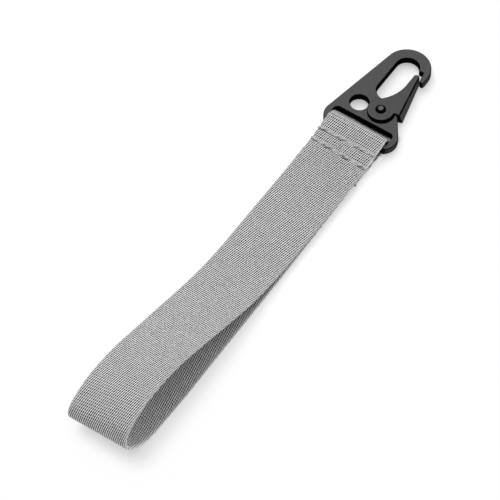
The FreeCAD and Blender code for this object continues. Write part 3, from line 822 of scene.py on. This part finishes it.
def bobbin_path(place, tilt, shift):
    """The bobbin thread of one row, just above the table: level between holes, and rising in a bell at each
    one."""
    count = np.linspace(0, stitches_per_row, stitches_per_row * samples_per_stitch + 1)
    y = -row_half + stitch_pitch * count
    near = np.abs(count - np.rint(count))
    z = thread_radius + table_gap + hole_rise * np.exp(-(near / hole_rise_width) ** 2)
    return np.stack([row_line(place, tilt, y), y + shift, z], axis=1)


def bonded_thread():
    """Bonded nylon thread: a grey a little smoother than the webbing, with fine fibres along its plies."""
    material, shade = start_material("grey_bonded_thread")
    cloth = shade.node("UVMap", uv_map="cloth")
    stretched = shade.node("Mapping", {"Vector": cloth, "Scale": (ply_stretch, 1.0, 1.0)})
    fibres = stretched.noise(ply_fibre_size, 3.0)
    clouds = shade.node("TexCoord", out="Object").noise(thread_cloud_size, 2.0)
    tone = 0.35 + 0.45 * fibres + 0.3 * clouds
    close_material(shade, {
        "Base Color": tone.tint(thread_dark, thread_pale),
        "Roughness": 0.5 + 0.2 * fibres,
        "Specular IOR Level": 0.35,
        "Sheen Weight": 0.1,
        "Normal": fibres.bump(ply_fibre_depth),
    })
    return material


thread_finish = bonded_thread()
along_strap = np.array([1.0, 0.0, 0.0])
for row, *line in zip(("upper_row", "lower_row"), row_places, row_tilts, row_shifts):
    for kind, path in (("needle", needle_path(*line)), ("bobbin", bobbin_path(*line))):
        thread = wound_tube(
            f"{row}_{kind}_plies", path, thread_radius, thread_sides, along_strap,
            plies, ply_depth, thread_lay,
        )
        thread.data.materials.append(thread_finish)
        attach(thread, "strap")
        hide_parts(f"{row}_{kind}_thread")


# Studio: a wide pale floor, a large soft lamp high on the left behind the clip, a weaker one above, a faint
# one low on the right, and a long lens that looks down over the hand loop towards the hook.
floor_half = 2.5
clip_half_length = 0.1012
clip_middle = 0.0038
floor_drop = 0.00004
floor_rows = 9
near_white = 0.42
far_white = 0.97
shadow_reach = 0.011
slot_floor_x = 0.0655
slot_floor_half = 0.0042
slot_floor_blur = 0.0004
slot_floor_sides = (0.0140, 0.0145)
paper_size = 0.03
paper_tones = ((0.95, 0.95, 0.95), (0.97, 0.97, 0.97))


def seen_directly(shade):
    """1 for rays from the camera and for rays that mirror or pass through to the background, otherwise 0."""
    camera = shade.node("LightPath", out="Is Camera Ray")
    glossy = shade.node("LightPath", out="Is Glossy Ray")
    passed = shade.node("LightPath", out="Is Transmission Ray")
    either = camera.math("MAXIMUM", camera, glossy)
    return either.math("MAXIMUM", either, passed)


def floor_sheet():
    """A level square, a grid of x and y at one height. To the camera its paper is lifted towards white by the
    distance from the clip, from near_white at its edge to far_white, and not at all below the slot."""
    side = np.linspace(-floor_half, floor_half, floor_rows)
    x, y = np.meshgrid(side, side, indexing="ij")
    points = np.stack([x, y, np.full(x.shape, -floor_drop)], axis=-1).reshape(-1, 3)
    number = np.arange(floor_rows * floor_rows).reshape(floor_rows, floor_rows)
    quads = np.stack([number[:-1, :-1], number[1:, :-1], number[1:, 1:], number[:-1, 1:]], axis=-1)
    mesh = bpy.data.meshes.new("studio_floor")
    mesh.from_pydata(points, [], quads.reshape(-1, 4).tolist())
    material, shade = start_material("pale_floor_paper")
    place = shade.node("TexCoord", out="Object")
    paper = place.noise(paper_size, 2.0)
    diffuse = shade.node("BsdfDiffuse", {"Color": paper.tint(*paper_tones)})
    white = shade.node("Emission", {"Color": (1.0, 1.0, 1.0, 1.0), "Strength": 1.0})
    ahead = abs(place.part("X") - clip_middle) - clip_half_length
    ahead = ahead.math("MAXIMUM", ahead, 0.0)
    aside = abs(place.part("Y")) - half_width
    aside = aside.math("MAXIMUM", aside, 0.0)
    clear = ((ahead * ahead + aside * aside) ** 0.5).soft_step(0.0, shadow_reach)
    from_slot = abs(place.part("X") - slot_floor_x)
    slot = 1 - from_slot.soft_step(slot_floor_half - slot_floor_blur, slot_floor_half)
    slot = slot * (1 - abs(place.part("Y")).soft_step(*slot_floor_sides))
    share = (near_white + (far_white - near_white) * clear) * (1 - slot) * seen_directly(shade)
    lifted = shade.node("MixShader", {0: share, 1: diffuse, 2: white})
    shade.node("OutputMaterial", {"Surface": lifted})
    mesh.materials.append(material)
    piece = bpy.data.objects.new("studio_floor", mesh)
    bpy.context.scene.collection.objects.link(piece)
    return piece


floor_sheet()

world = bpy.data.worlds.new("studio_world")
bpy.context.scene.world = world
world.use_nodes = True
world.node_tree.nodes.clear()
sky = Shade(world.node_tree)
ambient = 0.50
strength = ambient + (1 - ambient) * seen_directly(sky)
backdrop = sky.node("Background", {"Color": (1.0, 1.0, 1.0, 1.0), "Strength": strength})
sky.node("OutputWorld", {"Surface": backdrop})


def aim(thing, place, target):
    """Puts a lamp or camera at a place, facing a target and level at its sides."""
    thing.location = place
    way = Vector(target) - thing.location
    thing.rotation_euler = way.to_track_quat("-Z", "Y").to_euler()
    bpy.context.scene.collection.objects.link(thing)


def soft_lamp(name, place, target, size, power):
    """A square soft box."""
    lamp = bpy.data.lights.new(name, "AREA")
    lamp.shape = "SQUARE"
    lamp.size = size
    lamp.energy = power
    aim(bpy.data.objects.new(name, lamp), place, target)


soft_lamp("key_lamp", (0.22, 0.34, 0.70), (0.0, 0.0, 0.0), 0.60, 3.8)
soft_lamp("top_lamp", (-0.05, -0.05, 0.90), (0.0, 0.0, 0.0), 0.60, 2.0)
soft_lamp("side_lamp", (0.42, -0.62, 0.40), (0.0, 0.0, 0.0), 0.50, 0.6)

camera_azimuth = math.radians(-55.790)
camera_elevation = math.radians(54.903)
camera_distance = 1.09296
camera_target = np.array([-0.006907, 0.002630, 0.0038])
camera_back = np.array([
    math.sin(camera_azimuth) * math.cos(camera_elevation),
    -math.cos(camera_azimuth) * math.cos(camera_elevation),
    math.sin(camera_elevation),
])
lens = bpy.data.cameras.new("studio_camera")
lens.lens = 216.0
lens.sensor_width = 36.0
lens.clip_start = 0.05
camera = bpy.data.objects.new("studio_camera", lens)
aim(camera, camera_target + camera_distance * camera_back, camera_target)
bpy.context.scene.camera = camera
bpy.context.scene.view_settings.view_transform = "Standard"
